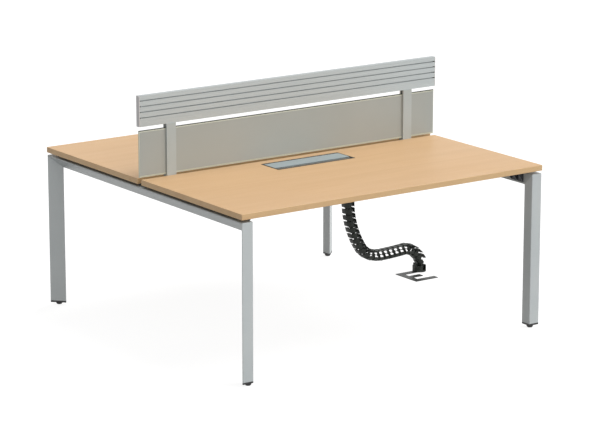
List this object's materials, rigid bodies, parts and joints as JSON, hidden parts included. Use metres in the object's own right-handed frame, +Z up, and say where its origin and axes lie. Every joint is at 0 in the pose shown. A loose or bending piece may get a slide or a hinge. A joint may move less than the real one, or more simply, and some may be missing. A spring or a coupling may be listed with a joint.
{
  "type": "benching desk for two",
  "caption": "Back-to-back benching desk on a three-sided tube frame with a centre screen, slatted tool rail, hinged cable ports and a vertebra cable spine to the floor",
  "frame": {"origin": "on the floor under the middle of the whole object's outline, the cable spine's foot included", "axes": "+X along the screen towards the cable spine's foot, +Y towards the rear seat, +Z up"},
  "size_m": [1.781, 1.58, 1.106],
  "materials": {
    "worktop": "satin beech-look laminate",
    "edge_band": "satin, beech-look",
    "frame_paint": "smooth silver-grey powder coat",
    "black_plastic": "black, lightly textured",
    "bracket": "black, ribbed",
    "panel": "frosted, satin",
    "rail": "brushed, satin",
    "rail_cap": "satin",
    "port": "satin anodised",
    "brush": "dark bristles",
    "spine": "dark grey, satin",
    "floor_plate": "dark grey, worn satin",
    "zinc": "bright zinc"
  },
  "bodies": {
    "frame": {"worktop_front": "worktop", "worktop_rear": "worktop", "edge_band_front": "edge_band", "edge_band_rear": "edge_band", "leg_front_left": "frame_paint", "leg_front_right": "frame_paint", "leg_rear_left": "frame_paint", "leg_rear_right": "frame_paint", "crossbar_left": "frame_paint", "crossbar_right": "frame_paint", "leg_end_caps": "black_plastic", "levelling_nuts": "zinc", "corner_brackets": "bracket", "bracket_bolts": "zinc", "spacer_strips": "black_plastic", "beam_front_outer": "frame_paint", "beam_front_inner": "frame_paint", "beam_rear_inner": "frame_paint", "beam_rear_outer": "frame_paint", "beam_end_plates": "frame_paint", "beam_bolts": "zinc", "beam_pads": "black_plastic", "worktop_screws": "zinc", "post_carriers": "frame_paint", "carrier_bolts": "zinc", "screen_post_left": "frame_paint", "screen_post_right": "frame_paint", "screen_panel": "panel", "rail_brackets": "rail", "panel_set_screws": "zinc", "rail_core": "rail", "rail_slats_front": "rail", "rail_slats_rear": "rail", "rail_end_caps": "rail_cap", "rail_screws": "zinc", "cable_tray": "frame_paint", "frame_screws": "zinc", "port_frame_front": "port", "port_frame_rear": "port", "hinge_pins_front": "zinc", "hinge_pins_rear": "zinc", "brush_strip_front": "brush", "brush_strip_rear": "brush", "spine_bracket": "spine", "spine_links_drop": "spine", "spine_links_run": "spine", "spine_foot": "spine", "spine_foot_screw": "zinc", "floor_plate": "floor_plate"},
    "lid_front": {"port_lid_front": "port"},
    "lid_rear": {"port_lid_rear": "port"},
    "glide_front_left": {"glide_stud_front_left": "zinc", "glide_pad_front_left": "black_plastic"},
    "glide_front_right": {"glide_stud_front_right": "zinc", "glide_pad_front_right": "black_plastic"},
    "glide_rear_left": {"glide_stud_rear_left": "zinc", "glide_pad_rear_left": "black_plastic"},
    "glide_rear_right": {"glide_stud_rear_right": "zinc", "glide_pad_rear_right": "black_plastic"}
  },
  "joints": [
    {"name": "lid_front_hinge", "type": "hinge", "parent": "frame", "child": "lid_front", "pos_m": [-0.0875, -0.08, 0.7375], "axis": [-1, 0, 0], "range_deg": [0, 100]},
    {"name": "lid_rear_hinge", "type": "hinge", "parent": "frame", "child": "lid_rear", "pos_m": [-0.0875, 0.08, 0.7375], "axis": [1, 0, 0], "range_deg": [0, 100]},
    {"name": "glide_front_left_screw", "type": "slide", "parent": "frame", "child": "glide_front_left", "axis": [0, 0, -1], "range_m": [-0.001, 0.014]},
    {"name": "glide_front_right_screw", "type": "slide", "parent": "frame", "child": "glide_front_right", "axis": [0, 0, -1], "range_m": [-0.001, 0.014]},
    {"name": "glide_rear_left_screw", "type": "slide", "parent": "frame", "child": "glide_rear_left", "axis": [0, 0, -1], "range_m": [-0.001, 0.014]},
    {"name": "glide_rear_right_screw", "type": "slide", "parent": "frame", "child": "glide_rear_right", "axis": [0, 0, -1], "range_m": [-0.001, 0.014]}
  ]
}
